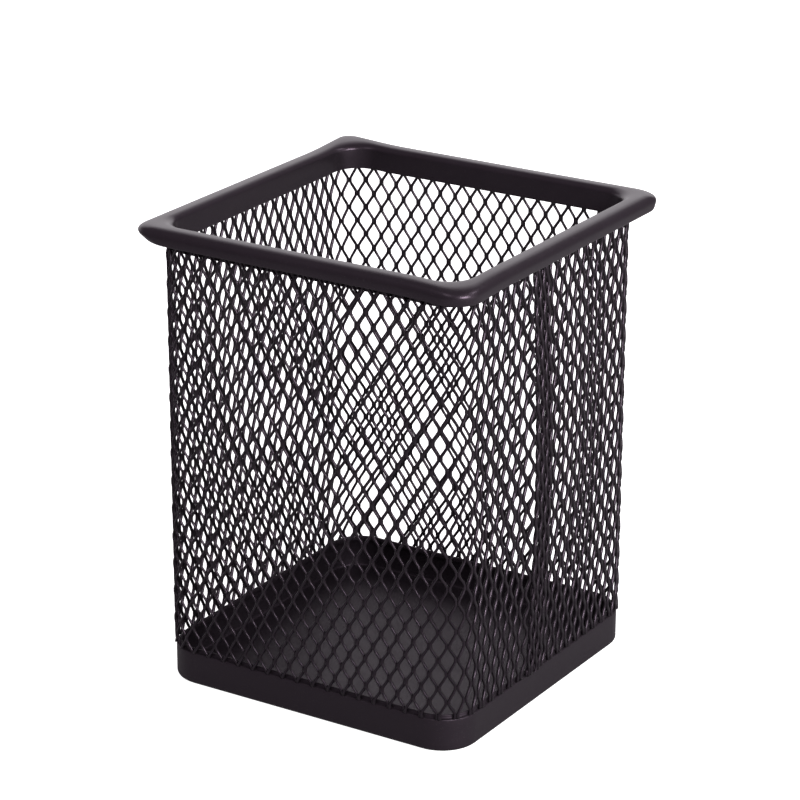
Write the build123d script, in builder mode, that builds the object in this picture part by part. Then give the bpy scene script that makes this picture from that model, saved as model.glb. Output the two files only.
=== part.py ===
from build123d import *
import os

os.makedirs("parts", exist_ok=True)

# Square mesh desk cup. Millimetres, +Z up, origin at the centre of the footprint.
height = 100.0
sheet = 0.6

# Rim: one pressed frame, a hollow rounded bead over a short inner apron
rim_side = 79.0
rim_corner = 4.0
bead_bottom = 97.2
bead_outer_radius = 2.0
bead_inner_radius = 1.2
hem_thickness = 0.6
hem_width = 2.0
apron_outer_side = 71.2
apron_outer_corner = 7.5
apron_inner_side = 70.0
apron_inner_corner = 7.0
apron_bottom = 94.2

# Wall: one sheet of expanded metal bent into a square tube, lapped on the +X face
wall_outer_side = 72.9
wall_inner_side = 71.3
wall_corner = 8.0
wall_bottom = 7.2
wall_top = 98.5
seam_centre_y = -5.6
seam_width = 4.7
seam_rise = 0.5
seam_top = 97.0

# Base: one drawn tray with a plain outer band and a lip joggled inside the wall
pan_side = 72.5
pan_corner = 8.0
pan_bottom_radius = 0.9
pan_floor_radius = 0.4
lip_outer_side = 71.2
lip_inner_side = 70.0
lip_outer_corner = 7.35
lip_inner_corner = 6.75
lip_top = 8.0

bead_height = height - bead_bottom
channel_side = rim_side - 2 * sheet
channel_corner = rim_corner - sheet
channel_bottom = bead_bottom + hem_thickness
channel_height = height - sheet - channel_bottom
mouth_side = rim_side - 2 * hem_width
mouth_corner = rim_corner - hem_width

with BuildPart() as rim:
    with BuildSketch(Plane.XY.offset(bead_bottom)):
        RectangleRounded(rim_side, rim_side, rim_corner)
    extrude(amount=bead_height)
    with BuildSketch(Plane.XY.offset(apron_bottom)):
        RectangleRounded(apron_outer_side, apron_outer_side, apron_outer_corner)
    extrude(amount=bead_bottom - apron_bottom)
    with BuildSketch(Plane.XY.offset(apron_bottom)):
        RectangleRounded(apron_inner_side, apron_inner_side, apron_inner_corner)
    extrude(amount=height - apron_bottom, mode=Mode.SUBTRACT)
    top_face = rim.faces().sort_by(Axis.Z)[-1]
    outer_edges = top_face.outer_wire().edges()
    inner_edges = top_face.inner_wires()[0].edges()
    fillet(outer_edges, radius=bead_outer_radius)
    fillet(inner_edges, radius=bead_inner_radius)
    # hollow under the bead, rounded to keep the sheet's thickness
    with BuildSketch(Plane.XY.offset(channel_bottom)):
        RectangleRounded(channel_side, channel_side, channel_corner)
        RectangleRounded(apron_outer_side, apron_outer_side, apron_outer_corner, mode=Mode.SUBTRACT)
    extrude(amount=channel_height, mode=Mode.SUBTRACT)
    web_face = rim.faces().filter_by(Plane.XY).group_by(Axis.Z)[-2][0]
    fillet(web_face.outer_wire().edges(), radius=bead_outer_radius - sheet)
    # the curled hem leaves this mouth for the wall's top edge
    with BuildSketch(Plane.XY.offset(bead_bottom)):
        RectangleRounded(mouth_side, mouth_side, mouth_corner)
        RectangleRounded(apron_outer_side, apron_outer_side, apron_outer_corner, mode=Mode.SUBTRACT)
    extrude(amount=hem_thickness, mode=Mode.SUBTRACT)

with BuildPart() as mesh_wall:
    with BuildSketch(Plane.XY.offset(wall_bottom)):
        RectangleRounded(wall_outer_side, wall_outer_side, wall_corner)
    extrude(amount=wall_top - wall_bottom)
    # lapped strip where the sheet's two ends overlap
    with BuildSketch(Plane.XY.offset(wall_bottom)):
        with Locations((wall_outer_side / 2, seam_centre_y)):
            Rectangle(2 * seam_rise, seam_width)
    extrude(amount=seam_top - wall_bottom)
    with BuildSketch(Plane.XY.offset(wall_bottom)):
        RectangleRounded(wall_inner_side, wall_inner_side, wall_corner - 0.8)
    extrude(amount=wall_top - wall_bottom, mode=Mode.SUBTRACT)

with BuildPart() as base_pan:
    with BuildSketch(Plane.XY):
        RectangleRounded(pan_side, pan_side, pan_corner)
    extrude(amount=wall_bottom)
    bottom_face = base_pan.faces().sort_by(Axis.Z)[0]
    fillet(bottom_face.outer_wire().edges(), radius=pan_bottom_radius)
    with BuildSketch(Plane.XY.offset(wall_bottom)):
        RectangleRounded(lip_outer_side, lip_outer_side, lip_outer_corner)
    extrude(amount=lip_top - wall_bottom)
    with BuildSketch(Plane.XY.offset(sheet)):
        RectangleRounded(pan_side - 2 * sheet, pan_side - 2 * sheet, pan_corner - sheet)
    extrude(amount=wall_bottom - 2 * sheet, mode=Mode.SUBTRACT)
    floor_face = base_pan.faces().filter_by(Plane.XY).group_by(Axis.Z)[1][0]
    fillet(floor_face.outer_wire().edges(), radius=pan_floor_radius)
    with BuildSketch(Plane.XY.offset(wall_bottom - sheet)):
        RectangleRounded(lip_inner_side, lip_inner_side, lip_inner_corner)
    extrude(amount=lip_top - wall_bottom + sheet, mode=Mode.SUBTRACT)

rim.part.label = "rim"
export_step(rim.part, "parts/rim.step")
mesh_wall.part.label = "mesh_wall"
export_step(mesh_wall.part, "parts/mesh_wall.step")
base_pan.part.label = "base_pan"
export_step(base_pan.part, "parts/base_pan.step")
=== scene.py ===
import math
import bmesh
import bpy
from mathutils import Matrix, Vector, noise


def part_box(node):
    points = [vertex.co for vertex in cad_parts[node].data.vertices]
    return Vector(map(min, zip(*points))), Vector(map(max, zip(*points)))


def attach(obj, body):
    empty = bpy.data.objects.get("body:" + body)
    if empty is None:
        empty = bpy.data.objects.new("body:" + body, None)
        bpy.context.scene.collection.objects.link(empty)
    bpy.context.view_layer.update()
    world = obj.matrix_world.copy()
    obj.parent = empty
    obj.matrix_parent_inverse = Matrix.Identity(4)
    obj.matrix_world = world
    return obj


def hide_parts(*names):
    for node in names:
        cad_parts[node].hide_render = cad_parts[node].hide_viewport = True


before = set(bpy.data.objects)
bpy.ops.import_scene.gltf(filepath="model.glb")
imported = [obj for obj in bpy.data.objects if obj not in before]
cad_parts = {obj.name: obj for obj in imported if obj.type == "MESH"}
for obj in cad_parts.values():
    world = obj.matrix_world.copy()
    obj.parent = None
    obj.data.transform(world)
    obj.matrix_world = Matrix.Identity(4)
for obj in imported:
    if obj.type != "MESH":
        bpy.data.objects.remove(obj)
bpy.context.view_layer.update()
mm = 0.001

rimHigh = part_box("rim")[1]
panLow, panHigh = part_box("base_pan")
print("frame loaded")


def nodeTools(tree):
    # short ways to add a node and to chain maths in any node tree
    def plug(value, socket):
        if isinstance(value, bpy.types.NodeSocket):
            tree.links.new(value, socket)
        else:
            socket.default_value = value

    def add(kind, values=None, **settings):
        node = tree.nodes.new(kind)
        for name, setting in settings.items():
            setattr(node, name, setting)
        for name, value in (values or {}).items():
            plug(value, node.inputs[name])
        return node

    def calc(operation, *values):
        node = tree.nodes.new("ShaderNodeMath")
        node.operation = operation
        for index, value in enumerate(values):
            plug(value, node.inputs[index])
        return node.outputs[0]

    return add, calc


def squareLoop(half, radii, height, sideSteps, cornerSteps):
    # points round a rounded square, anticlockwise from the -Y side
    # corners in the order front, right, back, left
    points = []
    for quarter in range(4):
        turn = Matrix.Rotation(quarter * math.pi / 2, 3, "Z")
        start = -half + radii[quarter - 1]
        end = half - radii[quarter]
        radius = radii[quarter]
        for step in range(sideSteps):
            along = start + (end - start) * step / sideSteps
            points.append(turn @ Vector((along, -half, height)))
        for step in range(cornerSteps):
            angle = math.pi / 2 * step / cornerSteps
            along = end + radius * math.sin(angle)
            across = radius - half - radius * math.cos(angle)
            points.append(turn @ Vector((along, across, height)))
    return points


def meshFromLoops(name, loops, ring, sharpAngle):
    # skins the loops with quads; a ring closes on its first loop, otherwise both ends get a cap
    build = bmesh.new()
    rows = [[build.verts.new(point * mm) for point in loop] for loop in loops]
    pairs = list(zip(rows, rows[1:])) + ([(rows[-1], rows[0])] if ring else [])
    for low, high in pairs:
        for index in range(len(low)):
            after = (index + 1) % len(low)
            build.faces.new((low[index], low[after], high[after], high[index]))
    if not ring:
        build.faces.new(rows[0])
        build.faces.new(rows[-1])
    bmesh.ops.recalc_face_normals(build, faces=build.faces)
    mesh = bpy.data.meshes.new(name)
    build.to_mesh(mesh)
    build.free()
    mesh.shade_smooth()
    mesh.set_sharp_from_angle(angle=math.radians(sharpAngle))
    piece = bpy.data.objects.new(name, mesh)
    bpy.context.scene.collection.objects.link(piece)
    return piece


def arc(centreOut, centreUp, radius, startDegrees, endDegrees, steps):
    # profile points on an arc, 0 degrees outwards and 90 up
    points = []
    for step in range(steps + 1):
        angle = math.radians(startDegrees + (endDegrees - startDegrees) * step / steps)
        out = centreOut + radius * math.cos(angle)
        up = centreUp + radius * math.sin(angle)
        points.append((out, up))
    return points


def makePowderGrain():
    # fine pebbled skin of a powder coat: a height, and a mask for gloss and shade
    group = bpy.data.node_groups.new("powderGrain", "ShaderNodeTree")
    face = group.interface
    grainSizes = {"Pebble Size": 0.35, "Drift Size": 9.0, "Fleck Size": 0.12}
    for name, value in grainSizes.items():
        face.new_socket(name, in_out="INPUT", socket_type="NodeSocketFloat").default_value = value
    for name in ("Height", "Gloss Mask", "Drift Mask"):
        face.new_socket(name, in_out="OUTPUT", socket_type="NodeSocketFloat")
    add, calc = nodeTools(group)
    sizes = add("NodeGroupInput").outputs
    place = add("ShaderNodeTexCoord").outputs["Object"]
    perPebble = calc("DIVIDE", 1 / mm, sizes["Pebble Size"])
    perFleck = calc("DIVIDE", 1 / mm, sizes["Fleck Size"])
    perDrift = calc("DIVIDE", 1 / mm, sizes["Drift Size"])
    pebbleLook = {"Vector": place, "Scale": perPebble}
    pebbles = add("ShaderNodeTexVoronoi", pebbleLook, feature="SMOOTH_F1")
    flecks = add("ShaderNodeTexNoise", {"Vector": place, "Scale": perFleck, "Detail": 3.0})
    driftLook = {"Vector": place, "Scale": perDrift, "Detail": 4.0, "Roughness": 0.6}
    drift = add("ShaderNodeTexNoise", driftLook)
    pebbleShare, fleckShare = 0.8, 0.35
    raised = calc("MULTIPLY", pebbles.outputs["Distance"], pebbleShare)
    height = calc("MULTIPLY_ADD", flecks.outputs["Fac"], fleckShare, raised)
    out = add("NodeGroupOutput")
    group.links.new(height, out.inputs["Height"])
    group.links.new(flecks.outputs["Fac"], out.inputs["Gloss Mask"])
    group.links.new(drift.outputs["Fac"], out.inputs["Drift Mask"])
    return group


def makeSettledDust():
    # pale dust in loose flecks, as a mask
    group = bpy.data.node_groups.new("settledDust", "ShaderNodeTree")
    face = group.interface
    dustSizes = {"Fleck Size": 0.3, "Cover": 0.1}
    for name, value in dustSizes.items():
        face.new_socket(name, in_out="INPUT", socket_type="NodeSocketFloat").default_value = value
    face.new_socket("Dust Mask", in_out="OUTPUT", socket_type="NodeSocketFloat")
    add, calc = nodeTools(group)
    sizes = add("NodeGroupInput").outputs
    place = add("ShaderNodeTexCoord").outputs["Object"]
    perFleck = calc("DIVIDE", 1 / mm, sizes["Fleck Size"])
    patchesPerMetre = 90.0
    flecks = add("ShaderNodeTexNoise", {"Vector": place, "Scale": perFleck, "Detail": 2.0})
    patches = add("ShaderNodeTexNoise", {"Vector": place, "Scale": patchesPerMetre, "Detail": 3.0})
    spotRange = {"Value": flecks.outputs["Fac"], "From Min": 0.62, "From Max": 0.78}
    spots = add("ShaderNodeMapRange", spotRange)
    speckled = calc("MULTIPLY", spots.outputs["Result"], patches.outputs["Fac"])
    mask = calc("MULTIPLY", speckled, sizes["Cover"])
    group.links.new(mask, add("NodeGroupOutput").inputs["Dust Mask"])
    return group


powderGrain = makePowderGrain()
settledDust = makeSettledDust()

finishes = {
    "blackCoatRim": {
        "dark": (0.0085, 0.0066, 0.0083), "light": (0.013, 0.0104, 0.0128),
        "gloss": (0.29, 0.39), "pebble": 0.5, "bump": 0.008, "dust": 0.08,
    },
    "blackCoatMesh": {
        "dark": (0.0045, 0.0036, 0.0045), "light": (0.008, 0.0064, 0.0079),
        "gloss": (0.26, 0.40), "pebble": 0.3, "bump": 0.010, "dust": 0.06,
    },
    "blackCoatPan": {
        "dark": (0.0058, 0.0045, 0.0058), "light": (0.0086, 0.0069, 0.0085),
        "gloss": (0.46, 0.58), "pebble": 0.45, "bump": 0.005, "dust": 0.10,
    },
}


coatBasics = {
    "dustColour": (0.30, 0.28, 0.27, 1),
    "tint": (1.0, 0.78, 0.99, 1),
    "ior": 1.42,
    "bumpStrength": 0.6,
}


def makeCoat(name, look):
    material = bpy.data.materials.new(name)
    material.use_nodes = True
    tree = material.node_tree
    tree.nodes.clear()
    add, calc = nodeTools(tree)
    grain = add("ShaderNodeGroup", node_tree=powderGrain)
    grain.inputs["Pebble Size"].default_value = look["pebble"]
    dust = add("ShaderNodeGroup", node_tree=settledDust)
    dust.inputs["Cover"].default_value = look["dust"]
    shade = add("ShaderNodeMix", data_type="RGBA")
    tree.links.new(grain.outputs["Drift Mask"], shade.inputs[0])
    shade.inputs[6].default_value = (*look["dark"], 1)
    shade.inputs[7].default_value = (*look["light"], 1)
    dusty = add("ShaderNodeMix", data_type="RGBA")
    tree.links.new(dust.outputs["Dust Mask"], dusty.inputs[0])
    tree.links.new(shade.outputs[2], dusty.inputs[6])
    dusty.inputs[7].default_value = coatBasics["dustColour"]
    halfGloss = calc("MULTIPLY", grain.outputs["Gloss Mask"], 0.5)
    halfDrift = calc("MULTIPLY", grain.outputs["Drift Mask"], 0.5)
    rough = add("ShaderNodeMapRange", {
        "Value": calc("ADD", halfGloss, halfDrift),
        "From Min": 0.3, "From Max": 0.7,
        "To Min": look["gloss"][0], "To Max": look["gloss"][1],
    })
    bump = add("ShaderNodeBump", {
        "Strength": coatBasics["bumpStrength"],
        "Distance": look["bump"] * mm,
        "Height": grain.outputs["Height"],
    })
    coat = add("ShaderNodeBsdfPrincipled", {
        "Base Color": dusty.outputs[2],
        "Roughness": rough.outputs["Result"],
        "Normal": bump.outputs["Normal"],
        "IOR": coatBasics["ior"],
        "Specular Tint": coatBasics["tint"],
    })
    out = add("ShaderNodeOutputMaterial")
    tree.links.new(coat.outputs["BSDF"], out.inputs["Surface"])
    return material


coats = {name: makeCoat(name, look) for name, look in finishes.items()}
print("finishes ready")


rimSizes = {
    "sheet": 0.6,
    "apronInnerHalf": 35.0,
    "apronBottom": 94.5,
    "innerCorner": 7.0,
    "topCorners": (5.0, 3.0, 1.2, 2.6),
    "hemCorners": (6.5, 5.2, 3.0, 9.0),
    "cornerLift": (-0.6, 0.0, 0.65, 0.0),
    "liftReach": 16.0,
    "beadBottom": 96.6,
    "outerRadius": 2.0,
    "innerRadius": 1.3,
    "hemLip": 2.0,
    "hemCurl": 0.35,
    "hemEdge": 0.3,
    "edgeSoft": 0.15,
    "apronMiddle": 95.0,
    "apronTop": 97.0,
    "topCrown": 0.02,
    "beadReach": 0.3,
    "wobble": 0.06,
    "wobblePerMm": 0.05,
    "wobbleSlice": 4.0,
    "sharpAngle": 50,
    "sideSteps": 24,
    "cornerSteps": 14,
}


def buildRim(size):
    outer = rimHigh.x / mm
    top = rimHigh.z / mm
    inner = size["apronInnerHalf"]
    sheet = size["sheet"]
    low = size["beadBottom"]
    big, small = size["outerRadius"], size["innerRadius"]
    curl, edge, soft = size["hemCurl"], size["hemEdge"], size["edgeSoft"]
    hanging = size["apronBottom"]
    upper = size["apronTop"]
    profile = [(inner, hanging + soft), (inner, size["apronMiddle"]), (inner, upper)]
    profile += arc(inner + small, top - small, small, 180, 90, 7)
    profile += [((inner + small + outer - big) / 2, top + size["topCrown"])]
    profile += arc(outer - big, top - big, big, 90, 0, 9)
    profile += arc(outer - curl, low + curl, curl, 0, -90, 3)
    profile += arc(outer - size["hemLip"], low + edge, edge, -90, -270, 4)
    profile += arc(outer - big, top - big, big - sheet, 0, 90, 5)
    profile += arc(inner + small, top - small, small - sheet, 90, 180, 4)
    profile += [(inner + sheet, upper), (inner + sheet, hanging + soft)]
    profile += [(inner + sheet - soft, hanging), (inner + soft, hanging)]
    tips = [Vector((x * outer, y * outer)) for x, y in ((1, -1), (1, 1), (-1, 1), (-1, -1))]
    loops = []
    for out, up in profile:
        reach = (out - inner) / (outer - inner)
        depth = min(1.0, max(0.0, (top - up) / (top - low))) if reach > size["beadReach"] else 0.0
        radii = []
        for topRadius, hemRadius in zip(size["topCorners"], size["hemCorners"]):
            outerRadius = topRadius + (hemRadius - topRadius) * depth ** 1.5
            radii.append(size["innerCorner"] * (1 - reach) + outerRadius * reach)
        loop = squareLoop(out, radii, up, size["sideSteps"], size["cornerSteps"])
        for point in loop:
            for tip, lift in zip(tips, size["cornerLift"]):
                near = max(0.0, 1 - (point.xy - tip).length / size["liftReach"])
                point.z += lift * near * near * (3 - 2 * near)
            spread = size["wobblePerMm"]
            spot = Vector((point.x * spread, point.y * spread, size["wobbleSlice"]))
            point.z += size["wobble"] * noise.noise(spot) * reach
        loops.append(loop)
    piece = meshFromLoops("rim_bead", loops, True, size["sharpAngle"])
    piece.data.materials.append(coats["blackCoatRim"])
    return piece


rimPiece = buildRim(rimSizes)
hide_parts("rim")
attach(rimPiece, "root")
print("rim built")


panSizes = {
    "sheet": 0.6,
    "corner": 8.0,
    "shoulder": 7.2,
    "bottomRadius": 0.9,
    "lipOuterHalf": 35.6,
    "lipRound": 0.25,
    "joggleRound": 0.1,
    "shoulderRound": 0.3,
    "floorRound": 0.5,
    "floorRings": (10.0, 26.0),
    "edgeRing": 2.0,
    "bandTop": 1.5,
    "bandFoot": 1.0,
    "joggleDrop": 0.5,
    "joggleTop": 0.12,
    "joggleFoot": 0.02,
    "tightestCorner": 2.0,
    "sharpAngle": 50,
    "sideSteps": 24,
    "cornerSteps": 14,
}


def buildPan(size):
    outer = panHigh.x / mm
    top = panHigh.z / mm
    sheet = size["sheet"]
    edge = size["bottomRadius"]
    shoulder = size["shoulder"]
    lip = size["lipOuterHalf"]
    bend, turn = size["floorRound"], size["joggleRound"]
    lipRound, soft = size["lipRound"], size["shoulderRound"]
    middle, wider = size["floorRings"]
    ring = size["edgeRing"]
    profile = [(middle, sheet), (wider, sheet), (outer - sheet - ring, sheet)]
    profile += arc(outer - sheet - bend, sheet + bend, bend, -90, 0, 4)
    profile += [(outer - sheet, shoulder - sheet - bend)]
    joggleUp = shoulder - sheet + size["joggleDrop"]
    profile += arc(lip - sheet + turn, joggleUp, turn, 240, 180, 2)
    profile += arc(lip - sheet + lipRound, top - lipRound, lipRound, 180, 90, 3)
    profile += arc(lip - lipRound, top - lipRound, lipRound, 90, 0, 3)
    profile += [(lip, shoulder + size["joggleTop"])]
    profile += [(lip + turn, shoulder + size["joggleFoot"])]
    profile += arc(outer - soft, shoulder - soft, soft, 90, 0, 4)
    profile += [(outer, shoulder - size["bandTop"]), (outer, edge + size["bandFoot"])]
    profile += arc(outer - edge, edge, edge, 0, -90, 6)
    profile += [(outer - edge - ring, 0.0), (wider, 0.0), (middle, 0.0)]
    loops = []
    for out, up in profile:
        radius = max(size["tightestCorner"], size["corner"] - (outer - out))
        loops.append(squareLoop(out, [radius] * 4, up, size["sideSteps"], size["cornerSteps"]))
    piece = meshFromLoops("pan_tray", loops, False, size["sharpAngle"])
    piece.data.materials.append(coats["blackCoatPan"])
    return piece


panPiece = buildPan(panSizes)
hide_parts("base_pan")
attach(panPiece, "root")
print("pan built")


strandSizes = {
    "Cell Width": 3.734,
    "Cell Height": 6.15,
    "Strand Width": 0.62,
    "Strand Thickness": 0.57,
    "Tilt": math.radians(29),
    "Bond Share": 0.32,
    "First Column": -214.7,
    "First Bond": 7.425,
    "Row Rise": 0.0155,
    "Bottom": 7.25,
    "Top": 97.9,
    "Wall Middle": 36.1,
    "Bend Radius": 7.6,
    "Bulge": 1.9,
    "Bulge Margin": 1.0,
    "Wander": 0.35,
    "Lap Width": 5.0,
    "Lap Squeeze": 0.8,
    "Lap Rise": 0.55,
    "Lap Reach": 0.8,
    "Lap Ramp Start": 3.5,
    "Lap Ramp End": 0.5,
    "Touch": 0.94,
    "Corner Softness": 0.45,
    "Slant Widening": 0.15,
    "Wander Scale": 0.09,
    "Weld Distance": 0.001 * mm,
}
strandLayout = {
    "sides": 8,
    "stepsUp": 120,
    "stepsPerCell": 8,
    "firstHalf": (-1, 76),  # first strand, and how many
    "secondHalf": (75, 76),
}


def makeStrandTree(material):
    # upright zigzag strands side by side, which touch at the bonds
    # the flat sheet is then wrapped round a square
    tree = bpy.data.node_groups.new("expandedSheet", "GeometryNodeTree")
    face = tree.interface
    for name, value in strandSizes.items():
        face.new_socket(name, in_out="INPUT", socket_type="NodeSocketFloat").default_value = value
    for name in ("First Strand", "Strand Count", "Sides", "Steps Up", "Steps Per Cell"):
        face.new_socket(name, in_out="INPUT", socket_type="NodeSocketInt")
    face.new_socket("Geometry", in_out="OUTPUT", socket_type="NodeSocketGeometry")
    add, calc = nodeTools(tree)
    size = add("NodeGroupInput").outputs

    rowLook = {"Count": size["Strand Count"], "Offset": (0.0, 0.0, 0.0)}
    row = add("GeometryNodeMeshLine", rowLook).outputs[0]
    number = calc("ADD", add("GeometryNodeInputIndex").outputs[0], size["First Strand"])
    numbered = add(
        "GeometryNodeStoreNamedAttribute",
        {"Geometry": row, "Name": "strand", "Value": number},
        data_type="FLOAT", domain="POINT",
    )
    tube = add(
        "GeometryNodeMeshCylinder",
        {"Vertices": size["Sides"], "Side Segments": size["Steps Up"], "Radius": 1.0, "Depth": 1.0},
        fill_type="NGON",
    )
    standing = {"Points": numbered.outputs[0], "Instance": tube.outputs["Mesh"]}
    placed = add("GeometryNodeInstanceOnPoints", standing)
    real = add("GeometryNodeRealizeInstances", {"Geometry": placed.outputs[0]})

    named = add("GeometryNodeInputNamedAttribute", {"Name": "strand"}, data_type="FLOAT")
    strand = named.outputs[0]
    where = add("GeometryNodeInputPosition").outputs[0]
    spot = add("ShaderNodeSeparateXYZ", {"Vector": where}).outputs
    span = calc("SUBTRACT", size["Top"], size["Bottom"])

    # where this strand runs in the flat sheet, swinging between its two bond columns
    columnGap = calc("MULTIPLY", size["Cell Width"], 0.5)
    columnsIn = calc("MULTIPLY", calc("ADD", strand, 0.5), columnGap)
    middle = calc("ADD", size["First Column"], columnsIn)
    bondUp = calc("ADD", size["First Bond"], calc("MULTIPLY", size["Row Rise"], middle))
    ring = calc("ROUND", calc("MULTIPLY", calc("ADD", spot["Z"], 0.5), size["Steps Up"]))
    ringGap = calc("DIVIDE", size["Cell Height"], size["Steps Per Cell"])
    ringsDown = calc("DIVIDE", calc("SUBTRACT", size["Bottom"], bondUp), ringGap)
    lowest = calc("FLOOR", calc("SUBTRACT", ringsDown, 0.5))
    up = calc("MULTIPLY_ADD", calc("ADD", calc("ADD", lowest, ring), 0.5), ringGap, bondUp)
    up = calc("MINIMUM", calc("MAXIMUM", up, size["Bottom"]), size["Top"])
    turns = calc("DIVIDE", calc("SUBTRACT", up, bondUp), size["Cell Height"])
    angle = calc("MULTIPLY", calc("ADD", calc("MULTIPLY", turns, 2.0), strand), math.pi)
    justInside = 0.9999  # keeps the arcsine defined at the bonds
    phase = calc("ARCSINE", calc("MULTIPLY", calc("COSINE", angle), justInside))
    zigzag = calc("MULTIPLY", phase, -2 / math.pi)
    zigzag = calc("DIVIDE", zigzag, calc("SUBTRACT", 1.0, size["Bond Share"]))
    swing = calc("MINIMUM", calc("MAXIMUM", zigzag, -1.0), 1.0)
    halfWide = calc("MULTIPLY", size["Strand Width"], 0.5)
    halfThick = calc("MULTIPLY", size["Strand Thickness"], 0.5)
    tiltCos = calc("COSINE", size["Tilt"])
    tiltSin = calc("SINE", size["Tilt"])
    touching = calc("MULTIPLY", calc("MULTIPLY", halfWide, tiltCos), size["Touch"])
    reach = calc("SUBTRACT", calc("MULTIPLY", size["Cell Width"], 0.25), touching)
    centre = calc("ADD", middle, calc("MULTIPLY", swing, reach))

    # the two ends of the sheet are squeezed together where they lap
    flat = calc("SUBTRACT", size["Wall Middle"], size["Bend Radius"])
    quarter = calc("MULTIPLY_ADD", flat, 2.0, calc("MULTIPLY", size["Bend Radius"], math.pi / 2))
    lapStart = calc("MULTIPLY_ADD", quarter, 4.0, size["First Column"])
    lapEnd = calc("ADD", lapStart, calc("MULTIPLY", size["Lap Width"], size["Lap Reach"]))
    give = calc("SUBTRACT", 1.0, size["Lap Squeeze"])
    squeezeEnd = calc("ADD", size["First Column"], size["Lap Width"])
    squeezeStart = calc("SUBTRACT", lapEnd, size["Lap Width"])
    before = calc("MAXIMUM", calc("SUBTRACT", squeezeEnd, centre), 0.0)
    after = calc("MAXIMUM", calc("SUBTRACT", centre, squeezeStart), 0.0)
    centre = calc("ADD", centre, calc("MULTIPLY", before, give))
    centre = calc("SUBTRACT", centre, calc("MULTIPLY", after, give))
    backSwing = calc("MULTIPLY", swing, calc("MULTIPLY", size["Touch"], -1.0))
    off = calc("MULTIPLY", backSwing, calc("MULTIPLY", halfWide, tiltSin))

    # flat ribbon section with softened edges, wider where the strand slants
    def squared(name):
        part = calc("POWER", calc("ABSOLUTE", spot[name]), size["Corner Softness"])
        return calc("MULTIPLY", calc("SIGN", spot[name]), part)

    narrowing = calc("MULTIPLY", size["Slant Widening"], -1.0)
    widest = calc("ADD", size["Slant Widening"], 1.0)
    slant = calc("MULTIPLY_ADD", calc("MULTIPLY", swing, swing), narrowing, widest)
    wide = calc("MULTIPLY", squared("X"), calc("MULTIPLY", halfWide, slant))
    thick = calc("MULTIPLY", squared("Y"), halfThick)
    alongEdge = calc("SUBTRACT", calc("MULTIPLY", wide, tiltCos), calc("MULTIPLY", thick, tiltSin))
    offEdge = calc("ADD", calc("MULTIPLY", wide, tiltSin), calc("MULTIPLY", thick, tiltCos))
    along = calc("ADD", centre, alongEdge)
    off = calc("ADD", off, offEdge)

    # slight wander of the stretched sheet, and the far end of the sheet laid over its start
    flatSpot = add("ShaderNodeCombineXYZ", {"X": along, "Y": up, "Z": 0.0}).outputs[0]
    wanderLook = {"Vector": flatSpot, "Scale": size["Wander Scale"], "Detail": 1.0}
    wander = add("ShaderNodeTexNoise", wanderLook, noise_dimensions="3D")
    drift = add("ShaderNodeSeparateXYZ", {"Vector": wander.outputs["Color"]}).outputs
    slideAlong = calc("MULTIPLY", calc("SUBTRACT", drift["X"], 0.5), size["Wander"])
    along = calc("ADD", along, slideAlong)
    liftUp = calc("MULTIPLY", calc("SUBTRACT", drift["Y"], 0.5), size["Wander"])
    rampFrom = calc("SUBTRACT", lapStart, size["Lap Ramp Start"])
    rampTo = calc("SUBTRACT", lapStart, size["Lap Ramp End"])
    rampLook = {"Value": centre, "From Min": rampFrom, "From Max": rampTo}
    lapped = add("ShaderNodeMapRange", rampLook, interpolation_type="SMOOTHSTEP")
    off = calc("ADD", off, calc("MULTIPLY", lapped.outputs["Result"], size["Lap Rise"]))

    # wrap: find the side, bend what passes its flat length round the corner
    # the sides also bow out a little
    side = calc("FLOOR", calc("ADD", calc("DIVIDE", along, quarter), 0.5))
    local = calc("SUBTRACT", along, calc("MULTIPLY", side, quarter))
    onFlat = calc("MAXIMUM", calc("MINIMUM", local, flat), calc("MULTIPLY", flat, -1.0))
    bend = calc("DIVIDE", calc("SUBTRACT", local, onFlat), size["Bend Radius"])
    acrossShare = calc("DIVIDE", onFlat, calc("ADD", flat, size["Bulge Margin"]))
    acrossBow = calc("COSINE", calc("MULTIPLY", acrossShare, math.pi / 2))
    upShare = calc("DIVIDE", calc("SUBTRACT", up, size["Bottom"]), span)
    upBow = calc("SINE", calc("MULTIPLY", upShare, math.pi))
    bothBow = calc("MULTIPLY", calc("MULTIPLY", acrossBow, acrossBow), upBow)
    bow = calc("MULTIPLY", bothBow, size["Bulge"])
    radius = calc("ADD", calc("ADD", size["Bend Radius"], off), bow)
    x = calc("ADD", onFlat, calc("MULTIPLY", radius, calc("SINE", bend)))
    outwards = calc("ADD", flat, calc("MULTIPLY", radius, calc("COSINE", bend)))
    y = calc("MULTIPLY", outwards, -1.0)
    turn = calc("MULTIPLY", side, math.pi / 2)
    turnCos, turnSin = calc("COSINE", turn), calc("SINE", turn)
    worldX = calc("SUBTRACT", calc("MULTIPLY", x, turnCos), calc("MULTIPLY", y, turnSin))
    worldY = calc("ADD", calc("MULTIPLY", x, turnSin), calc("MULTIPLY", y, turnCos))
    worldZ = calc("ADD", up, calc("MULTIPLY", liftUp, upBow))
    world = add("ShaderNodeCombineXYZ", {"X": worldX, "Y": worldY, "Z": worldZ}).outputs[0]
    metres = add("ShaderNodeVectorMath", {0: world, "Scale": mm}, operation="SCALE")

    def nextStep(kind, last, values):
        return add(kind, {"Geometry": last.outputs[0], **values})

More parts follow.
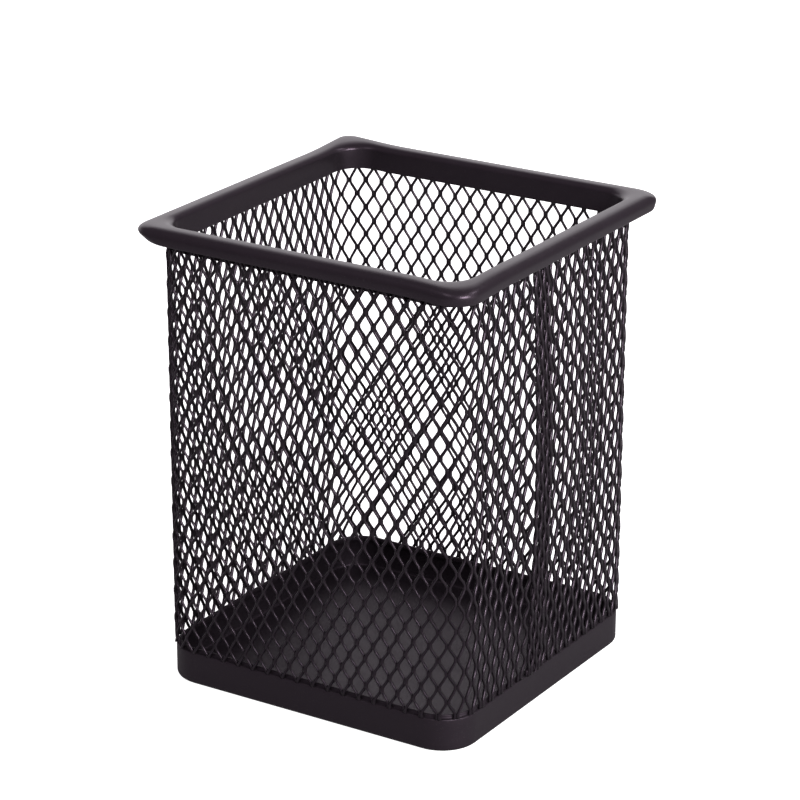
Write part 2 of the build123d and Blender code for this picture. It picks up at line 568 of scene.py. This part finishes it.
    moved = nextStep("GeometryNodeSetPosition", real, {"Position": metres.outputs[0]})
    smooth = nextStep("GeometryNodeSetShadeSmooth", moved, {"Shade Smooth": True})
    weldGap = {"Distance": size["Weld Distance"]}
    welded = nextStep("GeometryNodeMergeByDistance", smooth, weldGap)
    done = nextStep("GeometryNodeRealizeInstances", welded, {})
    painted = nextStep("GeometryNodeSetMaterial", done, {"Material": material})
    tree.links.new(painted.outputs[0], add("NodeGroupOutput").inputs["Geometry"])
    return tree


def buildStrands(name, tree, first, count):
    blank = bpy.data.meshes.new(name + "_carrier")
    carrier = bpy.data.objects.new(name + "_carrier", blank)
    bpy.context.scene.collection.objects.link(carrier)
    modifier = carrier.modifiers.new("sheet", "NODES")
    modifier.node_group = tree
    values = dict(strandSizes)
    values.update({
        "First Strand": first,
        "Strand Count": count,
        "Sides": strandLayout["sides"],
        "Steps Up": strandLayout["stepsUp"],
        "Steps Per Cell": strandLayout["stepsPerCell"],
    })
    for socket in tree.interface.items_tree:
        if socket.in_out == "INPUT":
            modifier[socket.identifier] = values[socket.name]
    ready = carrier.evaluated_get(bpy.context.evaluated_depsgraph_get())
    mesh = bpy.data.meshes.new_from_object(ready)
    mesh.name = name
    if "strand" in mesh.attributes:
        mesh.attributes.remove(mesh.attributes["strand"])
    carrier.modifiers.clear()
    bpy.data.objects.remove(carrier)
    build = bmesh.new()
    build.from_mesh(mesh)
    bmesh.ops.recalc_face_normals(build, faces=build.faces)
    build.to_mesh(mesh)
    build.free()
    piece = bpy.data.objects.new(name, mesh)
    bpy.context.scene.collection.objects.link(piece)
    return piece


strandTree = makeStrandTree(coats["blackCoatMesh"])
for name, key in (("mesh_strands_a", "firstHalf"), ("mesh_strands_b", "secondHalf")):
    strands = buildStrands(name, strandTree, *strandLayout[key])
    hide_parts("mesh_wall")
    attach(strands, "root")
    print(name, len(strands.data.polygons), "faces")


stageLook = {
    "floorSeen": 0.9,
    "floorBounce": 0.42,
    "floorSize": 30.0,
    "floorGap": 0.02,
    "floorRoughness": 0.9,
    "floorSpecular": 0.1,
    "aimHeight": 50,
    "surround": (0.27, 0.225, 0.265),
    "lights": {
        "softboxGlint": {
            "azimuth": 69, "elevation": 27, "distance": 0.9,
            "wide": 0.36, "high": 0.3, "glow": 28.0,
        },
        "softboxFront": {
            "azimuth": -2, "elevation": 50, "distance": 0.9,
            "wide": 0.34, "high": 0.22, "glow": 3.6,
        },
        "softboxSide": {
            "azimuth": 122, "elevation": 46, "distance": 0.9,
            "wide": 0.3, "high": 0.22, "glow": 6.0,
        },
        "panelBehind": {
            "azimuth": 212, "elevation": 19, "distance": 1.3,
            "wide": 1.5, "high": 0.85, "glow": 1.35,
        },
        "panelAbove": {
            "azimuth": 212, "elevation": 47, "distance": 1.3,
            "wide": 1.2, "high": 0.4, "glow": 0.95,
        },
        "panelLeft": {
            "azimuth": -98, "elevation": 10, "distance": 1.2,
            "wide": 0.9, "high": 0.6, "glow": 1.2,
        },
        "panelRight": {
            "azimuth": 100, "elevation": 8, "distance": 1.2,
            "wide": 0.7, "high": 0.5, "glow": 1.2,
        },
    },
}


def aimed(azimuth, elevation):
    a, e = math.radians(azimuth), math.radians(elevation)
    return Vector((math.sin(a) * math.cos(e), -math.cos(a) * math.cos(e), math.sin(e)))


def buildStage(look):
    floorHeight = panLow.z - look["floorGap"] * mm
    bpy.ops.mesh.primitive_plane_add(size=look["floorSize"], location=(0, 0, floorHeight))
    floor = bpy.context.object
    floor.name = "floor"
    paint = bpy.data.materials.new("paleFloor")
    paint.use_nodes = True
    tree = paint.node_tree
    add, calc = nodeTools(tree)
    seen = add("ShaderNodeLightPath").outputs["Is Camera Ray"]
    surface = tree.nodes["Principled BSDF"]
    pale, dim = look["floorSeen"], look["floorBounce"]
    grey = add("ShaderNodeMix", {0: seen}, data_type="RGBA")
    grey.inputs[6].default_value = (dim, dim, dim, 1)
    grey.inputs[7].default_value = (pale, pale, pale, 1)
    tree.links.new(grey.outputs[2], surface.inputs["Base Color"])
    surface.inputs["Roughness"].default_value = look["floorRoughness"]
    surface.inputs["Specular IOR Level"].default_value = look["floorSpecular"]
    surface.inputs["Emission Color"].default_value = (1, 1, 1, 1)
    tree.links.new(calc("MULTIPLY", seen, pale), surface.inputs["Emission Strength"])
    floor.data.materials.append(paint)
    world = bpy.data.worlds.new("surround")
    world.use_nodes = True
    add = nodeTools(world.node_tree)[0]
    seen = add("ShaderNodeLightPath").outputs["Is Camera Ray"]
    sky = add("ShaderNodeMix", {0: seen}, data_type="RGBA")
    sky.inputs[6].default_value = (*look["surround"], 1)
    sky.inputs[7].default_value = (1, 1, 1, 1)
    background = world.node_tree.nodes["Background"]
    world.node_tree.links.new(sky.outputs[2], background.inputs["Color"])
    bpy.context.scene.world = world
    target = Vector((0, 0, look["aimHeight"] * mm))
    for name, light in look["lights"].items():
        data = bpy.data.lights.new(name, "AREA")
        data.shape = "RECTANGLE"
        data.size = light["wide"]
        data.size_y = light["high"]
        data.energy = light["glow"] * math.pi * light["wide"] * light["high"]
        lamp = bpy.data.objects.new(name, data)
        away = aimed(light["azimuth"], light["elevation"])
        lamp.location = target + away * light["distance"]
        lamp.rotation_mode = "QUATERNION"
        lamp.rotation_quaternion = (lamp.location - target).to_track_quat("Z", "Y")
        lamp.visible_camera = False
        bpy.context.scene.collection.objects.link(lamp)


cameraSizes = {
    "azimuth": 32.29,
    "elevation": 20.46,
    "distance": 696.7,
    "lens": 146.1,
    "sensor": 36.0,
    "clipStart": 0.01,
    "slideRight": 0.03,
    "slideUp": 54.4,
    "roll": 0.18,
}


def buildCamera(size):
    back = aimed(size["azimuth"], size["elevation"])
    turned = math.radians(size["azimuth"])
    right = Vector((math.cos(turned), math.sin(turned), 0))
    up = back.cross(right)
    roll = math.radians(size["roll"])
    rolledRight = right * math.cos(roll) + up * math.sin(roll)
    rolledUp = up * math.cos(roll) - right * math.sin(roll)
    data = bpy.data.cameras.new("camera")
    data.lens = size["lens"]
    data.sensor_width = size["sensor"]
    data.clip_start = size["clipStart"]
    camera = bpy.data.objects.new("camera", data)
    pose = Matrix((rolledRight, rolledUp, back)).transposed().to_4x4()
    place = back * size["distance"] + right * size["slideRight"] + up * size["slideUp"]
    pose.translation = place * mm
    camera.matrix_world = pose
    bpy.context.scene.collection.objects.link(camera)
    bpy.context.scene.camera = camera


buildStage(stageLook)
buildCamera(cameraSizes)
bpy.context.scene.view_settings.view_transform = "Standard"
print("stage, lights and camera ready")
